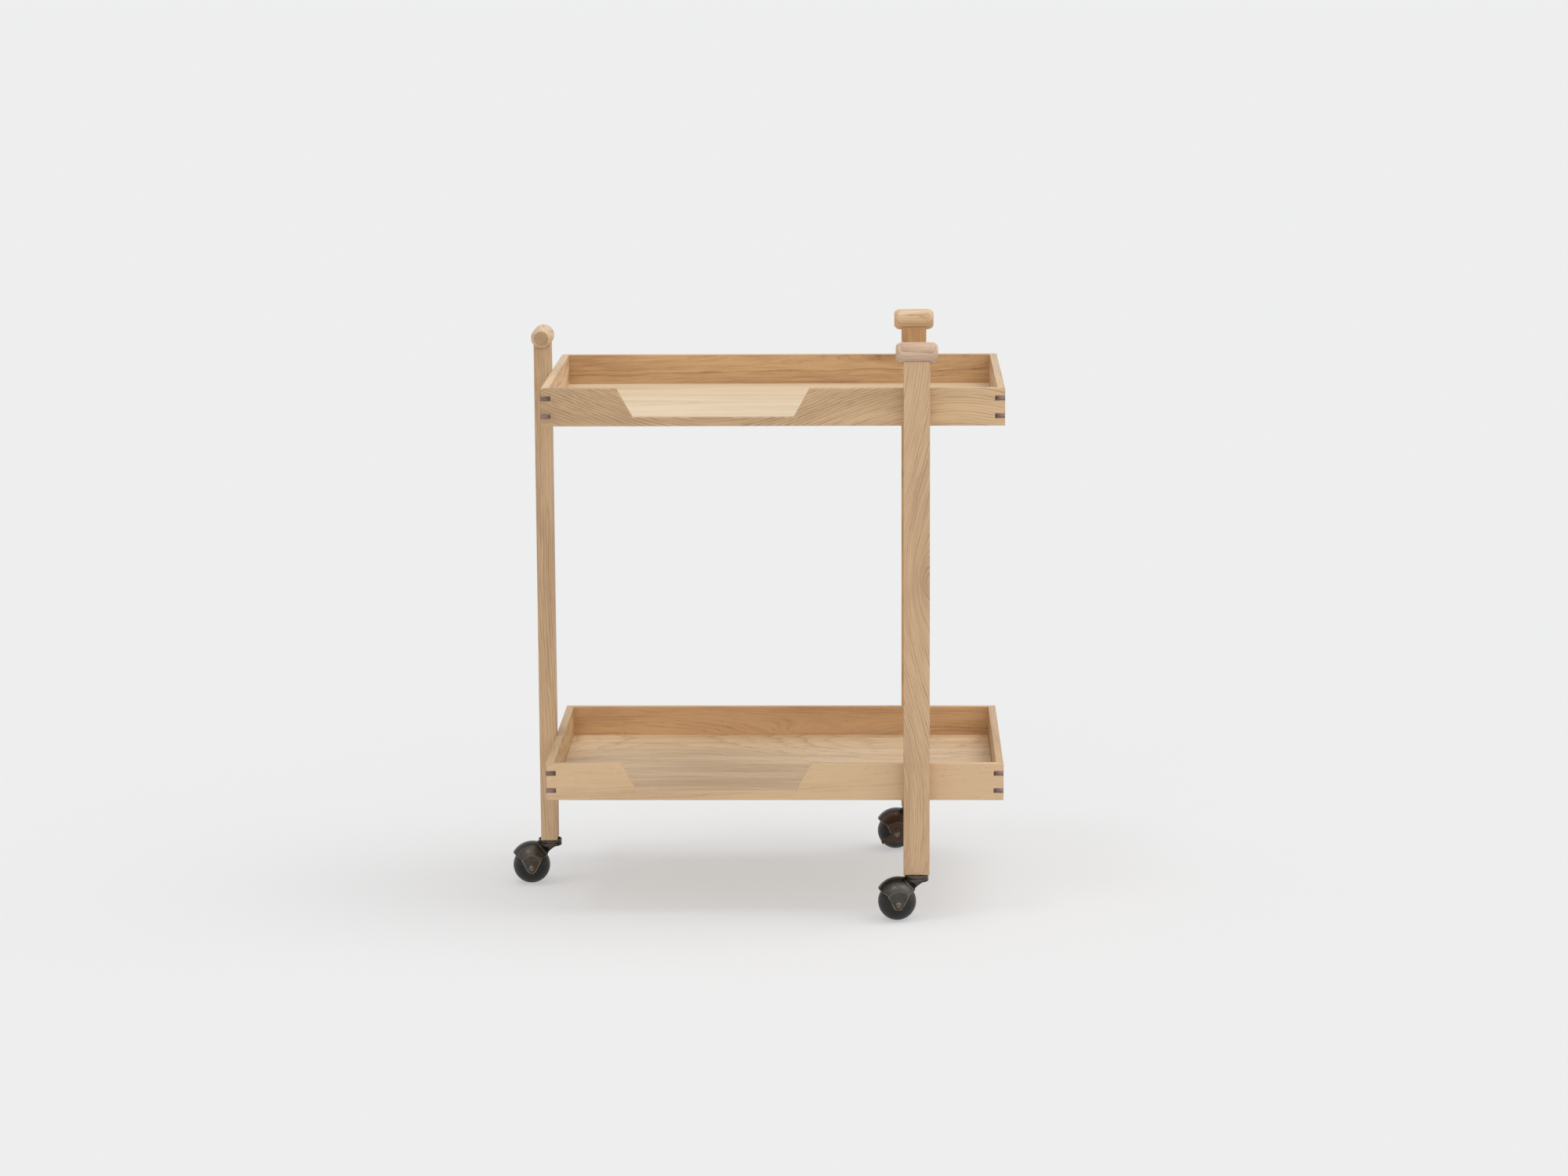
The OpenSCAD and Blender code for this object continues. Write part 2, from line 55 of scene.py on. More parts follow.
lookSockets = {"Color": "Color", "Roughness": "Float", "Height": "Float"}        # what each group gives


def setInputs(tree, sockets, values):        # a value is a plain one, or the socket that it comes from
    for name, value in values.items():
        if isinstance(value, bpy.types.NodeSocket):
            tree.links.new(value, sockets[name])
        else:
            sockets[name].default_value = value


def addNode(tree, kind, inputs, output=0, **settings):        # gives one output of the new node
    node = tree.nodes.new("ShaderNode" + kind)
    for name, value in settings.items():
        setattr(node, name, value)
    setInputs(tree, node.inputs, inputs)
    return node.outputs[output]


def calc(tree, operation, *values):
    return addNode(tree, "Math", dict(enumerate(values)), operation=operation)


def calcVector(tree, operation, *values, output=0):
    return addNode(tree, "VectorMath", dict(enumerate(values)), output=output, operation=operation)


def scaleVector(tree, vector, scale):
    return addNode(tree, "VectorMath", {0: vector, "Scale": scale}, operation="SCALE")


def remap(tree, value, low, high, newLow=0.0, newHigh=1.0):
    ends = {"Value": value, "From Min": low, "From Max": high, "To Min": newLow, "To Max": newHigh}
    return addNode(tree, "MapRange", ends, interpolation_type="SMOOTHSTEP")


def noise(tree, vector, perMm, detail=2.0, output=0):        # perMm: how fast it changes along X, Y and Z
    stretched = calcVector(tree, "MULTIPLY", vector, perMm)
    return addNode(tree, "TexNoise", {"Vector": stretched, "Scale": 1.0, "Detail": detail}, output=output)


def mixColor(tree, share, first, second, blend="MIX"):
    colors = {0: share, 6: first, 7: second}
    return addNode(tree, "Mix", colors, output=2, data_type="RGBA", blend_type=blend)


def ramp(tree, value, stops):
    node = tree.nodes.new("ShaderNodeValToRGB")
    elements = node.color_ramp.elements
    while len(elements) < len(stops):
        elements.new(0.5)
    for element, (place, level) in zip(elements, stops):
        element.position = place
        element.color = (level, level, level, 1)
    setInputs(tree, node.inputs, {0: value})
    return node.outputs[0]


def attribute(tree, name):
    return addNode(tree, "Attribute", {}, output="Fac", attribute_name=name)


def placeInMm(tree):        # where a point of the piece is, in millimetres
    return scaleVector(tree, tree.nodes.new("ShaderNodeTexCoord").outputs["Object"], 1 / mm)


def makeGroup(name, inputs):
    tree = bpy.data.node_groups.new(name, "ShaderNodeTree")
    for side, sockets in (("INPUT", inputs), ("OUTPUT", lookSockets)):
        for label, kind in sockets.items():
            tree.interface.new_socket(name=label, in_out=side, socket_type="NodeSocket" + kind)
    return tree, tree.nodes.new("NodeGroupInput").outputs, tree.nodes.new("NodeGroupOutput").inputs


def addGroup(tree, group, inputs):
    node = tree.nodes.new("ShaderNodeGroup")
    node.node_tree = group
    setInputs(tree, node.inputs, inputs)
    return node.outputs


def newMaterial(name):
    material = bpy.data.materials.new(name)
    material.use_nodes = True
    tree = material.node_tree
    return material, tree, tree.nodes["Principled BSDF"]


def applyLook(tree, shader, look, relief, others):        # look: the three values that a group gives
    strength, depth = relief        # depth in millimetres
    bump = addNode(tree, "Bump", {"Strength": strength, "Distance": depth * mm, "Height": look["Height"]})
    look = {"Base Color": look["Color"], "Roughness": look["Roughness"], "Normal": bump}
    setInputs(tree, shader.inputs, {**look, **others})


# objects

def addObject(name, data):
    holder = bpy.data.objects.new(name, data)
    bpy.context.scene.collection.objects.link(holder)
    return holder


def meshFrom(name, bm):
    mesh = bpy.data.meshes.new(name)
    bm.to_mesh(mesh)
    bm.free()
    return mesh


# camera, light and floor

view = {
    "place": (0.1627, -5.4692, 1.3673),
    "turn": 1.283,        # degrees to the left
    "tilt": 9.955,        # degrees down
    "roll": -0.287,
    "lens": 94.70,
    "sensor": 36.0,
    "reach": 500,         # how far it sees, in metres
}

studio = {
    "backdrop": 0.855,    # how bright the plain background looks
    "floorColor": (0.798, 0.800, 0.806),
    "floorGlow": 0.5,     # share of the floor's look that no shadow darkens
    "floorReach": 80.0,
    "worldLight": 0.43,
    "lights": {        # strength, softness, lean to the right and to the front
        "key light": (0.30, 14, (-17, 13)),
        "top light": (0.72, 40, (13, -4)),
        "right top light": (0.36, 34, (30, 0)),
        "right light": (0.70, 70, (60, 10)),
        "left light": (0.15, 70, (-60, 10)),
        "front light": (0.69, 70, (4, 64)),
    },
}


def addCamera():
    camera = bpy.data.cameras.new("camera")
    camera.lens = view["lens"]
    camera.sensor_width = view["sensor"]
    camera.sensor_fit = "HORIZONTAL"
    camera.clip_end = view["reach"]
    holder = addObject("camera", camera)
    holder.matrix_world = (
        Matrix.Translation(view["place"])
        @ Matrix.Rotation(math.radians(view["turn"]), 4, "Z")
        @ Matrix.Rotation(math.radians(90 - view["tilt"]), 4, "X")
        @ Matrix.Rotation(math.radians(view["roll"]), 4, "Z")
    )
    bpy.context.scene.camera = holder


def addSun(name, strength, softness, lean):
    sun = bpy.data.lights.new(name, "SUN")
    sun.energy = strength
    sun.angle = math.radians(softness)
    toRight, toFront = (math.tan(math.radians(angle)) for angle in lean)
    towards = Vector((toRight, -toFront, 1))
    addObject(name, sun).matrix_world = towards.to_track_quat("Z", "Y").to_matrix().to_4x4()


def seenRays(tree):        # 1 where the camera, a gloss or a glass looks straight at it
    path = tree.nodes.new("ShaderNodeLightPath")
    seen = path.outputs["Is Camera Ray"]
    for ray in ("Is Glossy Ray", "Is Transmission Ray"):
        seen = calc(tree, "MAXIMUM", seen, path.outputs[ray])
    return seen


def addWorld():
    world = bpy.data.worlds.new("studio")
    world.use_nodes = True
    bpy.context.scene.world = world
    tree = world.node_tree
    tree.nodes.clear()
    light = addNode(tree, "Background", {"Color": white, "Strength": studio["worldLight"]})
    backdrop = addNode(tree, "Background", {"Color": white, "Strength": studio["backdrop"]})
    both = addNode(tree, "MixShader", {0: seenRays(tree), 1: light, 2: backdrop})
    setInputs(tree, tree.nodes.new("ShaderNodeOutputWorld").inputs, {"Surface": both})


def addFloor():
    bm = bmesh.new()
    bmesh.ops.create_circle(bm, cap_ends=True, segments=64, radius=studio["floorReach"])
    floor = addObject("floor", meshFrom("floor", bm))
    material, tree, shader = newMaterial("pale floor")
    tree.nodes.remove(shader)
    matt = addNode(tree, "BsdfDiffuse", {"Color": (*studio["floorColor"], 1)})
    glow = addNode(tree, "Emission", {"Color": white, "Strength": studio["backdrop"]})
    share = calc(tree, "MULTIPLY", seenRays(tree), studio["floorGlow"])
    both = addNode(tree, "MixShader", {0: share, 1: matt, 2: glow})
    setInputs(tree, tree.nodes["Material Output"].inputs, {"Surface": both})
    floor.data.materials.append(material)


addCamera()
addWorld()
for name, light in studio["lights"].items():
    addSun(name, *light)
addFloor()
print("studio ready")


# modelling

past = 1        # how far a cutter runs beyond what it cuts, in millimetres


def block(low, high):
    bm = bmesh.new()
    bmesh.ops.create_cube(bm, size=1)
    low, high = Vector(low), Vector(high)
    bmesh.ops.scale(bm, vec=high - low, verts=bm.verts)
    bmesh.ops.translate(bm, vec=(low + high) / 2, verts=bm.verts)
    return bm


def extrude(bm, points, way):        # adds a solid from a flat outline
    face = bm.faces.new([bm.verts.new(point) for point in points])
    made = bmesh.ops.extrude_face_region(bm, geom=[face])["geom"]
    end = [item for item in made if isinstance(item, bmesh.types.BMVert)]
    bmesh.ops.translate(bm, vec=way, verts=end)


def plate(outline, near, far):        # an outline in X and Z, made solid along Y
    bm = bmesh.new()
    extrude(bm, [(x, near, z) for x, z in outline], (0, far - near, 0))
    bmesh.ops.recalc_face_normals(bm, faces=bm.faces)
    return bm


def arc(middle, radius, start, end, steps, squeeze=1.0):        # angles in degrees
    angles = [math.radians(start + (end - start) * i / steps) for i in range(steps + 1)]
    return [(middle[0] + radius * math.cos(a), middle[1] + squeeze * radius * math.sin(a)) for a in angles]


def turned(profile, steps=96, closed=False):        # profile: radius and height, spun about Z
    bm = bmesh.new()
    verts = [bm.verts.new((radius, 0, height)) for radius, height in profile]
    following = verts[1:] + verts[:1] if closed else verts[1:]
    edges = [bm.edges.new(ends) for ends in zip(verts, following)]
    bmesh.ops.spin(bm, geom=verts + edges, cent=(0, 0, 0), axis=(0, 0, 1), angle=math.tau, steps=steps,
                   use_merge=True)
    bmesh.ops.remove_doubles(bm, verts=bm.verts, dist=1e-4)
    bmesh.ops.recalc_face_normals(bm, faces=bm.faces)
    return bm


def moved(bm, matrix):
    bmesh.ops.transform(bm, matrix=matrix, verts=bm.verts)
    return bm


def layAlongY(bm, way=-1):        # tips what was turned about Z on its side
    return moved(bm, Matrix.Rotation(way * math.radians(90), 4, "X"))


def rodY(radius, near, far, steps=64):
    return layAlongY(turned([(0, near), (radius, near), (radius, far), (0, far)], steps))


def rodZ(lowRadius, highRadius, low, high):
    return turned([(0, low), (lowRadius, low), (highRadius, high), (0, high)])


def ball(radius, middle=(0, 0, 0), steps=96):        # its poles lie on the axle
    bm = layAlongY(turned(arc((0, 0), radius, -90, 90, steps // 2), steps), 1)
    return moved(bm, Matrix.Translation(middle))


def soften(bm, width, steps=3, angle=30, rubAndHighlight=False):        # rounds the arrises, and can mark them as rubbed, which also paints a highlight along them
    sharp = [e for e in bm.edges if e.is_manifold and e.calc_face_angle() > math.radians(angle)]
    made = bmesh.ops.bevel(bm, geom=sharp, offset=width, offset_type="OFFSET", segments=steps, profile=0.5,
                           affect="EDGES", material=-1, clamp_overlap=True)
    if rubAndHighlight:
        rounded = set(made["faces"])
        rubbedAndHighlit = bm.verts.layers.float.new("rubbedAndHighlit")
        for vert in bm.verts:
            vert[rubbedAndHighlit] = all(face in rounded for face in vert.link_faces)
    return bm


def cutAway(bm, place, outward):        # takes off what lies beyond a plane, and closes the cut
    everything = bm.verts[:] + bm.edges[:] + bm.faces[:]
    bmesh.ops.bisect_plane(bm, geom=everything, dist=1e-4, plane_co=place, plane_no=outward, clear_outer=True)
    bmesh.ops.holes_fill(bm, edges=[e for e in bm.edges if e.is_boundary], sides=0)


def withModifier(bm, kind, **settings):        # gives the mesh with the modifier applied
    mesh = meshFrom("blank", bm)
    holder = addObject("blank", mesh)
    step = holder.modifiers.new("step", kind)
    for name, value in settings.items():
        setattr(step, name, value)
    graph = bpy.context.evaluated_depsgraph_get()
    result = bpy.data.meshes.new_from_object(holder.evaluated_get(graph))
    bm = bmesh.new()
    bm.from_mesh(result)
    bpy.data.objects.remove(holder)
    for used in (mesh, result):
        bpy.data.meshes.remove(used)
    return bm


def combine(bm, tool, operation):
    mesh = meshFrom("tool", tool)
    helper = addObject("tool", mesh)
    bm = withModifier(bm, "BOOLEAN", object=helper, operation=operation, solver="EXACT")
    bpy.data.objects.remove(helper)
    bpy.data.meshes.remove(mesh)
    return bm


def addPiece(name, bm, material, body, slot, *nodes, weighted=True):        # bm: in millimetres, and freed
    piece = addObject(name, meshFrom(name, moved(bm, Matrix.Scale(mm, 4))))
    piece.data.shade_smooth()
    piece.data.materials.append(material)
    if weighted:        # keeps the broad faces flat beside their rounded arrises
        piece.modifiers.new("flat faces", "WEIGHTED_NORMAL").keep_sharp = True
    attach(piece, body)
    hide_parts(*nodes)


def boxOf(node):        # lowest and highest corner, in millimetres
    return tuple(Vector(corner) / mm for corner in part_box(node))


def middleOf(node):
    low, high = boxOf(node)
    return (low + high) / 2


# wood

woods = {
    "any": {        # unless a kind, or a piece's own cut, says otherwise
        "bow": 0, "bowLength": 600,        # how far the grain sways, and over what length
        "knot": (0, 0, 0), "knotSize": (37, 33, 14),        # along the log, and across it twice
        "knotRise": 0, "knotTint": 0, "specular": 0.35,
        "relief": (0.25, 0.2),        # strength, and depth in millimetres
    },
    "oak": {
        "pale": (0.68, 0.470, 0.278), "dark": (0.37, 0.225, 0.118), "ringWidth": 3.2, "taper": 0.012,
        "wobble": 7, "contrast": 0.70, "pores": 0.60, "roughness": 0.50,
    },
    "creamOak": {
        "pale": (0.75, 0.600, 0.410), "dark": (0.54, 0.385, 0.240), "ringWidth": 2.2, "taper": 0.004,
        "wobble": 5, "contrast": 0.50, "pores": 0.40, "roughness": 0.48,
    },
    "walnut": {
        "pale": (0.33, 0.215, 0.185), "dark": (0.15, 0.092, 0.078), "ringWidth": 2.4, "taper": 0.010,
        "wobble": 3, "contrast": 0.60, "pores": 0.60, "roughness": 0.50,
    },
    "beech": {
        "pale": (0.70, 0.500, 0.330), "dark": (0.52, 0.340, 0.210), "ringWidth": 2.0, "taper": 0.004,
        "wobble": 2, "contrast": 0.35, "pores": 0.20, "roughness": 0.55,
    },
}

grainTurns = {"X": (0, 0, 0), "Y": (0, 0, 90), "Z": (0, -90, 0)}        # turns a log to lie along an axis
grainAxes = {"X": (1, 0, 0), "Y": (0, 1, 0), "Z": (0, 0, 1)}

figure = {
    "sway": (0.005, 0.016, 0.016),        # how fast each changes, along the log and across it twice
    "waver": (0.012, 0.12, 0.12),
    "tone": (0.0035, 0.03, 0.03),
    "fibre": (0.018, 1.15, 1.15),
    "pore": (0.11, 2.4, 2.4),
    # how dark a ring is, from its inside to its outside
    "ring": [(0, 0.4), (0.05, 1), (0.13, 0.5), (0.35, 0.15), (0.92, 0), (1, 0.4)],
    "poreTint": (0.60, 0.50, 0.42, 1),
    "endTint": (0.70, 0.63, 0.57, 1),
    "endFacing": (0.90, 0.97),        # how squarely a face looks along the grain where it turns to end grain
}


def makeGrainGroup():        # a log in millimetres: the grain runs along X, the rings lie round it
    tree, given, result = makeGroup("wood grain", {
        "Log": "Vector", "Ring Width": "Float", "Taper": "Float", "Wobble": "Float", "Bow": "Float",
        "Bow Length": "Float", "Knot": "Vector", "Knot Size": "Vector", "Knot Rise": "Float",
        "Knot Tint": "Float", "Contrast": "Float", "Pores": "Float", "Roughness": "Float", "Pale": "Color",
        "Dark": "Color", "End": "Float",
    })
    log = given["Log"]
    along = addNode(tree, "SeparateXYZ", {0: log})

    # the log wobbles, and bows in one long wave
    drift = noise(tree, log, figure["sway"], 2, "Color")
    drift = calcVector(tree, "SUBTRACT", drift, (0.5, 0.5, 0.5))
    drift = scaleVector(tree, drift, given["Wobble"])
    turn = calc(tree, "DIVIDE", calc(tree, "MULTIPLY", along, math.tau), given["Bow Length"])
    bow = calc(tree, "MULTIPLY", calc(tree, "COSINE", turn), given["Bow"])
    drift = calcVector(tree, "ADD", drift, addNode(tree, "CombineXYZ", {"Z": bow}))
    bent = calcVector(tree, "ADD", log, drift)

    # its rings taper along it, and swell round the knot
    radius = calcVector(tree, "LENGTH", calcVector(tree, "MULTIPLY", bent, (0, 1, 1)), output="Value")
    radius = calc(tree, "ADD", radius, calc(tree, "MULTIPLY", along, given["Taper"]))
    fromKnot = calcVector(tree, "SUBTRACT", log, given["Knot"])
    fromKnot = calcVector(tree, "DIVIDE", fromKnot, given["Knot Size"])
    fromKnot = calcVector(tree, "DOT_PRODUCT", fromKnot, fromKnot, output="Value")
    nearKnot = calc(tree, "EXPONENT", calc(tree, "MULTIPLY", fromKnot, -1))
    radius = calc(tree, "ADD", radius, calc(tree, "MULTIPLY", nearKnot, given["Knot Rise"]))
    waver = remap(tree, noise(tree, log, figure["waver"], 2), 0.2, 0.8, -0.25, 0.25)
    rings = calc(tree, "ADD", calc(tree, "DIVIDE", radius, given["Ring Width"]), waver)
    strength = addNode(tree, "TexWhiteNoise", {"W": calc(tree, "FLOOR", rings)}, noise_dimensions="1D")
    early = ramp(tree, calc(tree, "FRACT", rings), figure["ring"])
    early = calc(tree, "MULTIPLY", early, remap(tree, strength, 0, 1, 0.3, 1.1))

    # fibres and pores run along the rings
    side = addNode(tree, "SeparateXYZ", {0: bent}, output=1)
    fibres = addNode(tree, "CombineXYZ", {"X": along, "Y": side, "Z": radius})
    streaks = remap(tree, noise(tree, fibres, figure["fibre"], 3), 0.3, 0.7, -0.06, 0.40)
    pores = remap(tree, noise(tree, fibres, figure["pore"], 1), 0.57, 0.70)
    pores = calc(tree, "MULTIPLY", pores, remap(tree, early, 0.05, 0.6, 0.25, 1))
    tone = remap(tree, noise(tree, log, figure["tone"], 2), 0.3, 0.7, -0.18, 0.26)

    share = calc(tree, "MULTIPLY", early, given["Contrast"])        # how dark it is
    streaks = calc(tree, "MULTIPLY", streaks, calc(tree, "ADD", given["Contrast"], 0.2))
    for more in (streaks, tone, calc(tree, "MULTIPLY", nearKnot, given["Knot Tint"])):
        share = calc(tree, "ADD", share, more)
    color = mixColor(tree, share, given["Pale"], given["Dark"])
    poreShare = calc(tree, "MULTIPLY", pores, given["Pores"])
    color = mixColor(tree, poreShare, color, figure["poreTint"], "MULTIPLY")
    color = mixColor(tree, given["End"], color, figure["endTint"], "MULTIPLY")
    rough = calc(tree, "ADD", given["Roughness"], calc(tree, "MULTIPLY", pores, 0.18))
    height = calc(tree, "SUBTRACT", 1, calc(tree, "ADD", pores, calc(tree, "MULTIPLY", early, 0.3)))
    setInputs(tree, result, {"Color": color, "Roughness": rough, "Height": height})
    return tree


grainGroup = makeGrainGroup()


def woodMaterial(name, kind, grain, middle, pith, lean=(0, 0, 0), **changes):
    # pith: from the piece's middle to the middle of the log that it was cut from, in millimetres
    wood = {**woods["any"], **woods[kind], **changes}
    pith = Vector(pith)
    turn = Euler([math.radians(a + b) for a, b in zip(grainTurns[grain], lean)])
    knot = turn.to_matrix().inverted() @ (Vector(wood["knot"]) - pith)
    material, tree, shader = newMaterial(name)
    coordinates = tree.nodes.new("ShaderNodeTexCoord").outputs
    log = addNode(tree, "Mapping", {
        "Vector": coordinates["Object"], "Location": (middle + pith) * mm, "Rotation": turn,
        "Scale": (mm, mm, mm),
    }, vector_type="TEXTURE")
    facing = calcVector(tree, "DOT_PRODUCT", coordinates["Normal"], grainAxes[grain], output="Value")
    look = addGroup(tree, grainGroup, {
        "Log": log, "Ring Width": wood["ringWidth"], "Taper": wood["taper"], "Wobble": wood["wobble"],
        "Bow": wood["bow"], "Bow Length": wood["bowLength"], "Knot": knot, "Knot Size": wood["knotSize"],
        "Knot Rise": wood["knotRise"], "Knot Tint": wood["knotTint"], "Contrast": wood["contrast"],
        "Pores": wood["pores"], "Roughness": wood["roughness"], "Pale": (*wood["pale"], 1),
        "Dark": (*wood["dark"], 1), "End": remap(tree, calc(tree, "ABSOLUTE", facing), *figure["endFacing"]),
    })
    applyLook(tree, shader, look, wood["relief"], {"Specular IOR Level": wood["specular"]})
    return material


# trays

tray = {
    "arris": 0.7,          # rounding of the rails' edges
    "cutoutTop": 250,      # width at the rail's top edge
    "cutoutBottom": 209,
    "cutoutDepth": 37.5,
    "cutoutOffset": 77,    # to the left of the tray's middle
    "grooveRoom": 0.5,     # past the tongue's edge
    "groovePlay": 0.2,
    "tongue": 3,
    "splineLength": 13,
    "splineThickness": 6.5,
    "splineEdge": 13,      # from a rail's edge to the middle of a spline
    "panelGap": 0.2,       # between the raised middle of the floor and the rails
    "panelArris": 0.3,
}

railSides = {        # grain, and which way the rail lies from the tray's middle
    "front": ("X", (0, -1)), "back": ("X", (0, 1)), "left": ("Y", (-1, 0)), "right": ("Y", (1, 0)),
}

railCuts = {        # kind of wood, pith from the rail's middle, lean, changes
    "upper_front": ("oak", (-80, 60, -260), (0, 0, 0), {
        "pale": (0.72, 0.495, 0.285), "bow": 40, "bowLength": 640, "ringWidth": 3.6, "wobble": 9,
        # this knot has no swell of rings: it only makes the rail darker towards its left end
        "taper": 0, "contrast": 0.75, "knot": (-300, 0, 0), "knotSize": (190, 60, 60), "knotTint": 0.45,
    }),
    "upper_back": ("oak", (0, 70, 30), (0, 1, 0), {
        "pale": (0.66, 0.425, 0.225), "dark": (0.37, 0.205, 0.090),
    }),
    # a paler base here is painted light: it lifts the rail's inner face, which the lamps leave darker
    "upper_left": ("oak", (140, 0, -20), (0, 0, 1), {"pale": (0.76, 0.555, 0.350)}),
    "upper_right": ("oak", (-150, 0, 30), (0, 0, -1), {"pale": (0.72, 0.520, 0.320)}),
    "lower_front": ("oak", (90, 140, 60), (0, -1, 0), {"contrast": 0.20, "pores": 0.4}),
    "lower_back": ("oak", (50, 60, -34), (0, 0.4, 0), {
        "pale": (0.70, 0.445, 0.235), "dark": (0.40, 0.215, 0.095), "ringWidth": 2.0, "contrast": 0.5,
        "wobble": 8, "knot": (40, -5, -12), "knotSize": (110, 60, 18), "knotRise": 11,
    }),
    "lower_left": ("oak", (150, 0, 25), (0, 0, 1), {"pale": (0.67, 0.465, 0.255)}),
    "lower_right": ("oak", (-130, 0, -30), (0, 0, -1), {}),
}

panelCuts = {
    "upper": ("creamOak", (0, -30, -420), (0, 0, 0), {}),
    # the paler base is painted light, lifting a floor that lies in the upper tray's shade; the knot's tint
    # darkens its front middle, by the cut-out, as painted shade
    "lower": ("oak", (-160, 150, -700), (0, 0, 0.6), {
        "pale": (0.83, 0.635, 0.420), "dark": (0.47, 0.310, 0.170), "bow": 9, "bowLength": 700, "wobble": 6,
        "ringWidth": 2.4, "contrast": 0.55, "taper": 0.01, "knot": (-50, -150, 5), "knotSize": (230, 90, 60),
        "knotRise": 12, "knotTint": 0.65,
    }),
}


def cutoutOutline(low, high):        # the hand cut-out, with its sloping ends run on past the rail's top edge
    middle = (low.x + high.x) / 2 - tray["cutoutOffset"]
    bottom, top = high.z - tray["cutoutDepth"], high.z + past
    slope = (tray["cutoutTop"] - tray["cutoutBottom"]) / 2 / tray["cutoutDepth"]
    halfTop = tray["cutoutTop"] / 2 + slope * past
    halfBottom = tray["cutoutBottom"] / 2
    return [(middle - halfBottom, bottom), (middle + halfBottom, bottom), (middle + halfTop, top),
            (middle - halfTop, top)]


def trayRing(low, high, wall, panelLow):        # the four rails in one, as glued up and rounded over
    hole = Vector((wall, wall, -past))
    bm = combine(block(low, high), block(low + hole, high - hole), "DIFFERENCE")
    room = Vector((tray["grooveRoom"], tray["grooveRoom"], 0))
    tongueHigh = (low.x + high.x - panelLow.x, low.y + high.y - panelLow.y, panelLow.z + tray["tongue"])
    groove = block(panelLow - room, Vector(tongueHigh) + room + Vector((0, 0, tray["groovePlay"])))
    bm = combine(bm, groove, "DIFFERENCE")
    cutter = plate(cutoutOutline(low, high), low.y - past, low.y + wall + past)
    return soften(combine(bm, cutter, "DIFFERENCE"), tray["arris"])


def splineRooms(low, high):        # two triangles at each corner of the tray
    bm = bmesh.new()
    reach, half = tray["splineLength"] + past, tray["splineThickness"] / 2
    for x, inX in ((low.x, 1), (high.x, -1)):
        for y, inY in ((low.y, 1), (high.y, -1)):
            for z in (low.z + tray["splineEdge"], high.z - tray["splineEdge"]):
                outerX, outerY = x - inX * past, y - inY * past
                outline = [(outerX, outerY), (x + inX * reach, outerY), (outerX, y + inY * reach)]
                extrude(bm, [(*point, z - half) for point in outline], (0, 0, 2 * half))
    bmesh.ops.recalc_face_normals(bm, faces=bm.faces)
    return bm


def railFrom(ring, low, high, side):        # cuts one rail out of the ring, along its mitres
    bm = ring.copy()
    outX, outY = railSides[side][1]
    for across in (-1, 1):
        corner = (low.x if (outX or across) < 0 else high.x, low.y if (outY or across) < 0 else high.y, 0)
        cutAway(bm, corner, (-outX or across, -outY or across, 0))
    bmesh.ops.recalc_face_normals(bm, faces=bm.faces)
    return combine(bm, splineRooms(low, high), "DIFFERENCE")


def buildFloor(level, low, high, wall):        # a board with a tongue all round and a raised middle
    node = f"{level}_floor_panel"
    panelLow, panelHigh = boxOf(node)
    board = block(panelLow, (*panelHigh.xy, panelLow.z + tray["tongue"]))
    inner = Vector((wall + tray["panelGap"], wall + tray["panelGap"], 0))
    raised = block((*(low + inner).xy, panelLow.z), (*(high - inner).xy, panelHigh.z))
    board = soften(combine(board, raised, "UNION"), tray["panelArris"], 2)
    kind, pith, lean, changes = panelCuts[level]
    material = woodMaterial(f"oak, {level} floor", kind, "X", middleOf(node), pith, lean, **changes)
    addPiece(f"{level}_floor_wood", board, material, "trolley", "oak_panel", node)


def buildTray(level):
    rails = {side: boxOf(f"{level}_{side}_rail") for side in railSides}
    low = Vector((rails["left"][0].x, rails["front"][0].y, rails["front"][0].z))
    high = Vector((rails["right"][1].x, rails["back"][1].y, rails["front"][1].z))
    wall = rails["front"][1].y - rails["front"][0].y
    ring = trayRing(low, high, wall, boxOf(f"{level}_floor_panel")[0])
    for side, (grain, _) in railSides.items():
        node = f"{level}_{side}_rail"
        kind, pith, lean, changes = railCuts[f"{level}_{side}"]
        label, middle = f"oak, {level} {side} rail", middleOf(node)
        material = woodMaterial(label, kind, grain, middle, pith, lean, **changes)
        addPiece(f"{node}_wood", railFrom(ring, low, high, side), material, "trolley", "oak_rail", node)

    splines = combine(ring, splineRooms(low, high), "INTERSECT")
    middle = middleOf(f"{level}_right_rail")
    walnut = woodMaterial(f"walnut, {level} splines", "walnut", "X", middle, (0, 20, 9), (0, 3, 2))
    addPiece(f"{level}_splines_wood", splines, walnut, "trolley", "walnut", f"{level}_corner_splines")
    buildFloor(level, low, high, wall)
    print(level, "tray made")


for level in ("upper", "lower"):
    buildTray(level)


# legs and handles

leg = {"arris": 0.9, "saddleSteps": 16}

legCuts = {        # pith from the leg's middle, lean, changes
    "left": ((-90, -60, 0), (0, -0.6, 0), {
        "bow": -5, "bowLength": 700, "ringWidth": 3.4, "contrast": 0.8,
    }),
    "front": ((-190, 40, 51), (0, 0, 0), {
        "pale": (0.65, 0.445, 0.265), "bow": -26, "bowLength": 620, "ringWidth": 3.6, "wobble": 9,
        "taper": 0, "contrast": 0.85, "knot": (12, -11, 51), "knotRise": 20, "knotTint": 0.35,
    }),
    "rear": ((-20, -90, 0), (0, -0.5, 0), {"pale": (0.64, 0.385, 0.185), "dark": (0.38, 0.200, 0.090)}),
}

handle = {
    "roundLength": 8,      # of the rounding at each end, along the handle
    "roundDepth": 4.7,
    "arris": 0.35, "arrisAngle": 20, "roundSteps": 14, "spinSteps": 112,
}

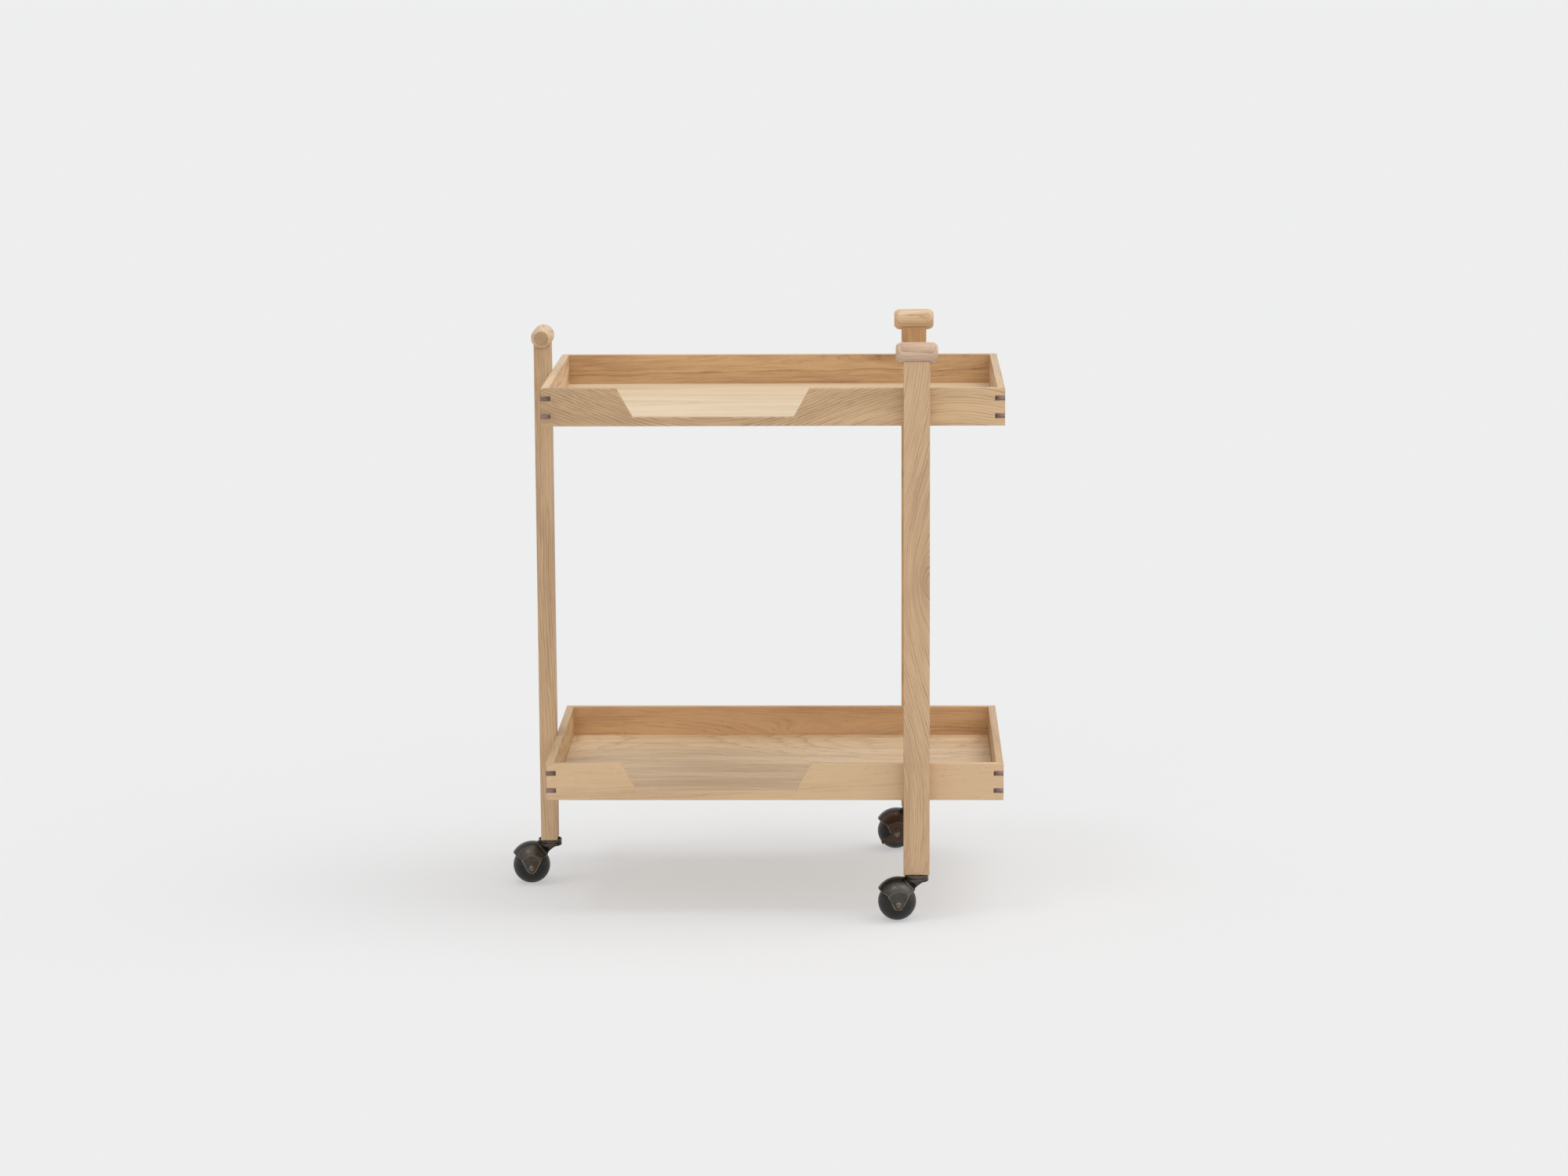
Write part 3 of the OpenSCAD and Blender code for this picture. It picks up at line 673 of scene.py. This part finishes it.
handleCuts = {        # grain, pith from the handle's middle, changes
    "left": ("Y", (-11, 0, -16), {"pale": (0.72, 0.530, 0.345), "pores": 0.25}),
    "front": ("X", (0, 13, -14), {"pale": (0.66, 0.475, 0.330), "dark": (0.40, 0.240, 0.160), "pores": 0.25}),
    "rear": ("X", (0, 15, -9), {"pale": (0.77, 0.570, 0.370), "dark": (0.43, 0.245, 0.115), "pores": 0.25}),
}


def buildLeg(name):
    low, high = boxOf(f"{name}_leg")
    handleLow, handleHigh = boxOf(f"{name}_handle")
    radius = (handleHigh.z - handleLow.z) / 2
    axis = (handleHigh.z + handleLow.z) / 2
    middle = (low + high) / 2
    sizes = high - low
    thin, wide = min(sizes.xy) / 2, max(sizes.xy) / 2
    dip = math.degrees(math.acos((axis - high.z) / radius))        # from straight down to the saddle's rim
    saddle = arc((0, axis), radius, -90 + dip, -90 - dip, leg["saddleSteps"])
    outline = [(-thin, low.z), (thin, low.z), (thin, high.z), *saddle, (-thin, high.z)]
    bm = soften(plate(outline, -wide, wide), leg["arris"])
    if sizes.x > sizes.y:
        moved(bm, Matrix.Rotation(math.radians(90), 4, "Z"))
    moved(bm, Matrix.Translation((middle.x, middle.y, 0)))
    pith, lean, changes = legCuts[name]
    material = woodMaterial(f"oak, {name} leg", "oak", "Z", middle, pith, lean, **changes)
    addPiece(f"{name}_leg_wood", bm, material, "trolley", "oak_leg", f"{name}_leg")


def buildHandle(name):
    low, high = boxOf(f"{name}_handle")
    middle = (low + high) / 2
    sizes = high - low
    radius, half = sizes.z / 2, max(sizes.xy) / 2
    bend = 2 * math.degrees(math.atan(handle["roundDepth"] / handle["roundLength"]))
    roundR = handle["roundLength"] / math.sin(math.radians(bend))
    corner = arc((radius - roundR, half - handle["roundLength"]), roundR, 0, bend, handle["roundSteps"])
    mirrored = [(r, -h) for r, h in reversed(corner)]
    bm = turned([(0, -half), *mirrored, *corner, (0, half)], handle["spinSteps"])
    soften(bm, handle["arris"], 2, handle["arrisAngle"])
    grain, pith, changes = handleCuts[name]
    lying = Matrix.Rotation(math.radians(90), 4, "Y" if grain == "X" else "X")
    moved(bm, Matrix.Translation(middle) @ lying)
    material = woodMaterial(f"oak, {name} handle", "oak", grain, middle, pith, **changes)
    addPiece(f"{name}_handle_wood", bm, material, "trolley", "oak_handle", f"{name}_handle")


for name in legCuts:
    buildLeg(name)
    buildHandle(name)
print("legs and handles made")


# joinery that stays as the frame has it

def paintNode(node, material):
    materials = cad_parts[node].data.materials
    materials.clear()
    materials.append(material)


beech = woodMaterial("beech dowels", "beech", "Z", Vector(), (0, 0, 0))
for node in ("upper_leg_dowels", "lower_leg_dowels", "handle_pegs"):
    paintNode(node, beech)


# metal and rubber

# the bright edge colour is rubbed metal, and also painted highlight along the edges
metals = {
    "bronze": {
        "base": (0.080, 0.070, 0.059), "patch": (0.085, 0.043, 0.022), "wornAndHighlit": (0.48, 0.43, 0.37),
        "roughness": 0.34, "metallic": 0.90, "relief": (0.30, 0.3),
    },
    "steel": {
        "base": (0.34, 0.33, 0.32), "patch": (0.26, 0.24, 0.22), "wornAndHighlit": (0.70, 0.69, 0.67),
        "roughness": 0.36, "metallic": 0.95, "relief": (0.12, 0.3),
    },
}

agingAndPaintedLight = {
    "patch": (0.07, 0.06, 0.07),        # how fast each changes along X, Y and Z
    "cloud": (0.3, 0.3, 0.3),
    "grit": (2.2, 2.2, 2.2),
    # breaks up where the edges show rubbed bright and painted highlight
    "brightBreakup": (0.13, 0.13, 0.13),
    "cloudTint": (0.45, 0.45, 0.45, 1),
    # tint of the painted shade strip over a hood's crown
    "paintedShadeTint": (0.28, 0.30, 0.27, 1),
}

rubberFinish = {
    "base": (0.009, 0.009, 0.009, 1), "dusty": (0.018, 0.017, 0.016, 1), "scuffed": (0.050, 0.047, 0.043, 1),
    "cloud": (0.12, 0.12, 0.12), "scuff": (0.5, 2.5, 0.5),        # how fast each changes along X, Y and Z
    "roughness": (0.36, 0.46), "specular": 0.3, "relief": (0.15, 0.2),
}


def makeAgedMetalWithPaintedLight():        # cast metal with patches and clouds of patina; edges rubbed bright, which is wear and also painted highlight, and a painted shade strip over a hood's crown
    tree, given, result = makeGroup("aged metal with painted light and shade", {
        "Place": "Vector", "Bright": "Float", "Painted Crown Shade": "Float", "Base": "Color", "Patch": "Color",
        "Worn And Highlit": "Color", "Roughness": "Float",
    })
    place = given["Place"]
    patch = remap(tree, noise(tree, place, agingAndPaintedLight["patch"], 3), 0.52, 0.72)
    cloud = noise(tree, place, agingAndPaintedLight["cloud"], 4)
    grit = noise(tree, place, agingAndPaintedLight["grit"], 3)
    brightBreakup = noise(tree, place, agingAndPaintedLight["brightBreakup"], 2)
    color = mixColor(tree, patch, given["Base"], given["Patch"])
    color = mixColor(tree, remap(tree, cloud, 0.35, 0.7, 0, 0.5), color, agingAndPaintedLight["cloudTint"], "MULTIPLY")
    # painted shade: darkens the strip over a hood's crown
    crownShadeShare = calc(tree, "MULTIPLY", given["Painted Crown Shade"], remap(tree, cloud, 0.2, 0.7, 0.75, 1))
    color = mixColor(tree, crownShadeShare, color, agingAndPaintedLight["paintedShadeTint"], "MULTIPLY")
    # edges rubbed bright: wear, and also painted highlight along them
    bright = calc(tree, "MULTIPLY", given["Bright"], remap(tree, grit, 0.3, 0.6, 0.5, 1))
    bright = calc(tree, "MULTIPLY", bright, remap(tree, brightBreakup, 0.35, 0.6, 0.3, 1))
    color = mixColor(tree, bright, color, given["Worn And Highlit"])
    rough = calc(tree, "ADD", given["Roughness"], remap(tree, grit, 0.3, 0.7, -0.05, 0.07))
    rough = calc(tree, "SUBTRACT", rough, calc(tree, "MULTIPLY", bright, 0.12))
    height = calc(tree, "ADD", calc(tree, "MULTIPLY", grit, 0.4), cloud)
    setInputs(tree, result, {"Color": color, "Roughness": rough, "Height": height})
    return tree


agedMetalWithPaintedLight = makeAgedMetalWithPaintedLight()


def metalMaterial(name, kind, **changes):
    metal = {**metals[kind], **changes}
    material, tree, shader = newMaterial(name)
    # proud edges show rubbed and painted bright as highlight; a hood's crown is painted dark as shade
    look = addGroup(tree, agedMetalWithPaintedLight, {
        "Place": placeInMm(tree), "Bright": attribute(tree, "rubbedAndHighlit"), "Painted Crown Shade": attribute(tree, "paintedCrownShade"),
        "Base": (*metal["base"], 1), "Patch": (*metal["patch"], 1), "Worn And Highlit": (*metal["wornAndHighlit"], 1),
        "Roughness": metal["roughness"],
    })
    applyLook(tree, shader, look, metal["relief"], {"Metallic": metal["metallic"]})
    return material


def rubberMaterial():
    finish = rubberFinish
    material, tree, shader = newMaterial("black ball")
    place = placeInMm(tree)
    cloud = noise(tree, place, finish["cloud"], 4)
    scuff = remap(tree, noise(tree, place, finish["scuff"], 3), 0.58, 0.75)
    color = mixColor(tree, remap(tree, cloud, 0.3, 0.7), finish["base"], finish["dusty"])
    color = mixColor(tree, calc(tree, "MULTIPLY", scuff, 0.35), color, finish["scuffed"])
    rough = remap(tree, cloud, 0.3, 0.7, *finish["roughness"])
    rough = calc(tree, "ADD", rough, calc(tree, "MULTIPLY", scuff, 0.15))
    look = {"Color": color, "Roughness": rough, "Height": calc(tree, "ADD", cloud, scuff)}
    applyLook(tree, shader, look, finish["relief"], {"Specular IOR Level": finish["specular"]})
    return material


bronzes = {
    "left": metalMaterial("antique bronze, brown", "bronze"),
    "front": metalMaterial("antique bronze, grey", "bronze", base=(0.076, 0.072, 0.064)),
    "rear": metalMaterial("antique bronze, red", "bronze", base=(0.085, 0.056, 0.043)),
}
rivetBronze = metalMaterial("antique bronze, rubbed", "bronze", base=(0.15, 0.132, 0.108), roughness=0.27)
steel = metalMaterial("turned steel", "steel")
rubber = rubberMaterial()


# castors, round the middle of the ball, with the swivel axis at trail on the X axis

castor = {
    "ballR": 25, "ballHalfWidth": 23.4, "ballArris": 0.4, "trail": 25.5,
    "hoodR": 30.6, "hoodWall": 1.6, "hoodHalfWidth": 26, "hoodMiddle": (1.1, 0, 1.7), "ballRoomR": 26,
    "lipAngle": 35, "shoulder": (14, 12.5), "tipR": 7,
    "headR": 15.8, "headLow": 27.4, "headHigh": 31.5, "neckR": 10, "throat": (21.82, 17.23),
    "headLap": 0.05,      # how far the neck runs into the swivel head
    "neckArcR": 26, "neckArcMiddle": (44.49, 4.5), "neckArcEnd": 235,
    "stemR": 4, "stemHeadR": 5.8, "stemBoreLow": 26.5,
    "beadRise": 0.9, "beadHalf": 0.7, "beadFrom": (9.8, 30.9), "beadTo": (21, 19.8),
    "beadInset": 0.1,      # from the wings' faces
    "grain": 0.38,        # size of the smallest detail of the casting
    "smoothing": 5,
}

axle = {
    "radius": 3, "headR": 4.25, "headH": 1.2, "play": 0.05,
    "dimpleR": 1.7, "dimpleDepth": 0.5, "dimpleFloor": 0.6,        # share of the dimple that is flat
}


def hoodOutline():        # side view, with everything past the lip and the neck taken in
    far = 2 * castor["hoodR"]
    lipAngle = math.radians(castor["lipAngle"])
    shoulder = Vector((-castor["shoulder"][0], castor["shoulder"][1]))
    lip = castor["hoodR"] * Vector((-math.cos(lipAngle), math.sin(lipAngle)))
    beyond = lip + (lip - shoulder) / 2
    throat, tipR = castor["throat"], castor["tipR"]
    tangent = math.degrees(math.acos(tipR / shoulder.length) - math.atan2(shoulder.y, -shoulder.x))
    tip = arc((0, 0), tipR, 180 + tangent, 360 - tangent, 24)
    return [tuple(beyond), tuple(shoulder), *tip, castor["shoulder"], throat, (far, throat[1]), (far, far),
            (beyond.x, far)]


def neckHollow():        # side view of the hollow under the neck, up to the swivel head's underside
    (x, z), radius, high = castor["neckArcMiddle"], castor["neckArcR"], castor["headLow"]
    rise = math.degrees(math.asin((high - z) / radius))
    curve = arc((x, z), radius, 180 - rise, castor["neckArcEnd"], 64)
    return [(x + radius, high), *curve, (x + radius, z - radius)]


def slabOf(bm, half):        # keeps what lies within half of the middle
    for way in (-1, 1):
        cutAway(bm, (0, way * half, 0), (0, way, 0))
    return bm


def neckBead():        # the raised line where the dome runs into the neck
    start, end = Vector(castor["beadFrom"]), Vector(castor["beadTo"])
    across = (end - start).normalized()
    outward = Vector((-across.y, 0, across.x))
    bm = ball(castor["hoodR"] + castor["beadRise"], castor["hoodMiddle"])
    for way in (-1, 1):
        cutAway(bm, Vector((start.x, 0, start.y)) + outward * way * castor["beadHalf"], outward * way)
    return slabOf(bm, castor["hoodHalfWidth"] - castor["beadInset"])


def stemBore():        # wider below, for the stem's riveted head
    bore, room = castor["stemR"] + axle["play"], castor["stemHeadR"]
    low, step, high = castor["throat"][1] - past, castor["stemBoreLow"], castor["headHigh"] + past
    return turned([(0, low), (room, low), (room, step), (bore, step), (bore, high), (0, high)])


def hoodCasting():
    half, wall, headR = castor["hoodHalfWidth"], castor["hoodWall"], castor["headR"]
    headLow, throatZ = castor["headLow"], castor["throat"][1]
    atStem = Matrix.Translation((castor["trail"], 0, 0))
    dome = slabOf(ball(castor["hoodR"], castor["hoodMiddle"]), half)
    inside = slabOf(ball(castor["hoodR"] - wall, castor["hoodMiddle"]), half - wall)
    neck = moved(rodZ(castor["neckR"], headR, throatZ, headLow + castor["headLap"]), atStem)
    head = moved(rodZ(headR, headR, headLow, castor["headHigh"]), atStem)
    ballRoom = slabOf(ball(castor["ballRoomR"]), half - wall)
    axleBore = rodY(axle["radius"] + axle["play"], -half - past, half + past)
    bm = combine(dome, inside, "DIFFERENCE")
    for part in (neckBead(), neck, head):
        bm = combine(bm, part, "UNION")
    bm = combine(bm, plate(hoodOutline(), -half - past, half + past), "INTERSECT")
    for cutter in (plate(neckHollow(), -half, half), ballRoom, axleBore, moved(stemBore(), atStem)):
        bm = combine(bm, cutter, "DIFFERENCE")
    bm = withModifier(bm, "REMESH", mode="VOXEL", voxel_size=castor["grain"])
    for _ in range(castor["smoothing"]):
        bmesh.ops.smooth_vert(bm, verts=bm.verts, factor=0.5, use_axis_x=True, use_axis_y=True,
                              use_axis_z=True)
    return bm


wearAndPaintedLight = {
    "hood": (0.010, 0.028),        # how proud a point stands where the rubbed edge and its painted highlight start, and where they are full
    "axle": (0.08, 0.25),
    "high": 20, "fade": 10, "least": 0.3,        # the low edges of a hood are rubbed and painted bright most
    "crownHalf": 12.5, "crownFade": 4,        # a painted shade strip over a hood's top
}


def between(value, low, high):
    return min(max(value, low), high)


def markWearAndPaintedLight(bm, limits, hood=False):
    # how far a point stands proud of its neighbours sets its rubbed edge and painted highlight; the hood's
    # crown gets a painted shade strip
    rubbedAndHighlit = bm.verts.layers.float.new("rubbedAndHighlit")
    paintedCrownShade = bm.verts.layers.float.new("paintedCrownShade")
    bm.normal_update()
    least, most = limits
    proud = {}
    for vert in bm.verts:
        around = [edge.other_vert(vert).co for edge in vert.link_edges]
        proud[vert] = (vert.co - sum(around, Vector()) / len(around)).dot(vert.normal)
    for vert in bm.verts:
        near = [proud[edge.other_vert(vert)] for edge in vert.link_edges]
        mean = (proud[vert] + sum(near)) / (1 + len(near))
        vert[rubbedAndHighlit] = between((mean - least) / (most - least), 0, 1)
        if hood:
            vert[rubbedAndHighlit] *= between((wearAndPaintedLight["high"] - vert.co.z) / wearAndPaintedLight["fade"], wearAndPaintedLight["least"], 1)
            # painted shade: a dark strip over the hood's crown, on its upper half
            inside = wearAndPaintedLight["crownHalf"] + wearAndPaintedLight["crownFade"] / 2 - abs(vert.co.y)
            vert[paintedCrownShade] = between(inside / wearAndPaintedLight["crownFade"], 0, 1) if vert.co.z > 0 else 0
    return bm


def ballWheel():
    radius, half, bore = castor["ballR"], castor["ballHalfWidth"], axle["radius"] + axle["play"]
    edge = math.degrees(math.asin(half / radius))
    profile = [(bore, -half), *arc((0, 0), radius, -edge, edge, 72), (bore, half)]
    return soften(layAlongY(turned(profile, 144, closed=True), 1), castor["ballArris"])


def axlePin(extra):        # extra: room for the lever on the near side
    half = castor["hoodHalfWidth"]
    headH, dimpleR, roundR = axle["headH"], axle["dimpleR"], axle["headR"] - axle["dimpleR"]
    floor = headH - axle["dimpleDepth"]
    dome = arc((dimpleR, 0), roundR, 0, 90, 8, headH / roundR)
    head = [(axle["radius"], 0), *dome, (dimpleR * axle["dimpleFloor"], floor), (0, floor)]
    far = [(r, half + h) for r, h in head]
    near = [(r, -half - extra - h) for r, h in reversed(head)]
    return layAlongY(turned(near + far, 64))


racePlate = {
    "low": 32, "high": 34, "rimHigh": 36, "rimWall": 1.2, "bore": 4.05, "chamfer": 0.8, "arris": 0.35,
}


def raceDish():
    low, high, rimHigh = racePlate["low"], racePlate["high"], racePlate["rimHigh"]
    bore, chamfer = racePlate["bore"], racePlate["chamfer"]
    outer, inner = castor["headR"], castor["headR"] - racePlate["rimWall"]
    profile = [(bore, low), (outer - chamfer, low), (outer, low + chamfer), (outer, rimHigh),
               (inner, rimHigh), (inner, high + chamfer), (inner - chamfer, high), (bore, high)]
    bm = soften(turned(profile, 128, closed=True), racePlate["arris"], 2, rubAndHighlight=True)
    return moved(bm, Matrix.Translation((castor["trail"], 0, 0)))


lever = {
    "thickness": 1.5, "gap": 0.15, "discR": 10.7, "discMiddle": (1, -2.5),
    "tailLength": 24, "tailAngle": 25.8, "tailEnd": 4.5, "tailRoot": 18.5, "rootDrop": 1.5,
    "pad": 4,        # how far the tail's end is turned out, for a toe
    "arris": 0.35,
}


def brakeLever():        # a disc on the axle with a tapering tail, whose end is turned out
    face = -castor["hoodHalfWidth"] - lever["gap"]
    back = face - lever["thickness"]
    angle = math.radians(lever["tailAngle"])
    along = Vector((-math.cos(angle), -math.sin(angle)))
    side = Vector((-along.y, along.x))
    discX, discZ = lever["discMiddle"]
    root = Vector((discX, discZ - lever["rootDrop"]))
    end = along * lever["tailLength"]
    tail = [root + side * lever["tailRoot"] / 2, end + side * lever["tailEnd"] / 2,
            end - side * lever["tailEnd"] / 2, root - side * lever["tailRoot"] / 2]
    pad = [tail[1], tail[2], tail[2] - along * lever["thickness"], tail[1] - along * lever["thickness"]]
    bm = moved(rodY(lever["discR"], back, face, 96), Matrix.Translation((discX, 0, discZ)))
    bm = combine(bm, plate([tuple(point) for point in tail], back, face), "UNION")
    bm = combine(bm, plate([tuple(point) for point in pad], back - lever["pad"], face), "UNION")
    bm = combine(bm, rodY(axle["radius"] + axle["play"], back - past, face + past), "DIFFERENCE")
    return soften(bm, lever["arris"], 2, rubAndHighlight=True)


def castorPlace(name):        # from the castor's own place to the trolley's, in millimetres
    middle, stem = middleOf(f"{name}_castor_wheel"), middleOf(f"{name}_castor_stem")
    turn = math.atan2(stem.y - middle.y, stem.x - middle.x)
    return Matrix.Translation(middle) @ Matrix.Rotation(turn, 4, "Z")


def buildCastor(name, casting):
    place, bronze = castorPlace(name), bronzes[name]
    swivel, wheel = f"{name}_castor_swivel", f"{name}_castor_ball"
    braked = name == "rear"
    extra = lever["thickness"] + 2 * lever["gap"] if braked else 0
    pieces = [
        ("hood", casting.copy(), bronze, swivel, "bronze"),
        ("axle", markWearAndPaintedLight(axlePin(extra), wearAndPaintedLight["axle"]), rivetBronze, swivel, "bronze"),
        ("race_plate", raceDish(), bronze, "trolley", "bronze"),
        ("wheel", ballWheel(), rubber, wheel, "ball"),
    ]
    if braked:
        pieces.append(("brake_lever", brakeLever(), bronze, "rear_brake", "bronze"))
    for part, bm, material, body, slot in pieces:
        node = f"{name}_castor_{part}"
        addPiece(f"{node}_finish", moved(bm, place), material, body, slot, node, weighted=part != "hood")
    for part in ("socket", "stem", "bearing_balls"):
        paintNode(f"{name}_castor_{part}", steel)


casting = markWearAndPaintedLight(hoodCasting(), wearAndPaintedLight["hood"], hood=True)
print("hood cast,", len(casting.verts), "points")
for name in bronzes:
    buildCastor(name, casting)
casting.free()
print("castors made")

bpy.context.scene.view_settings.view_transform = "Standard"
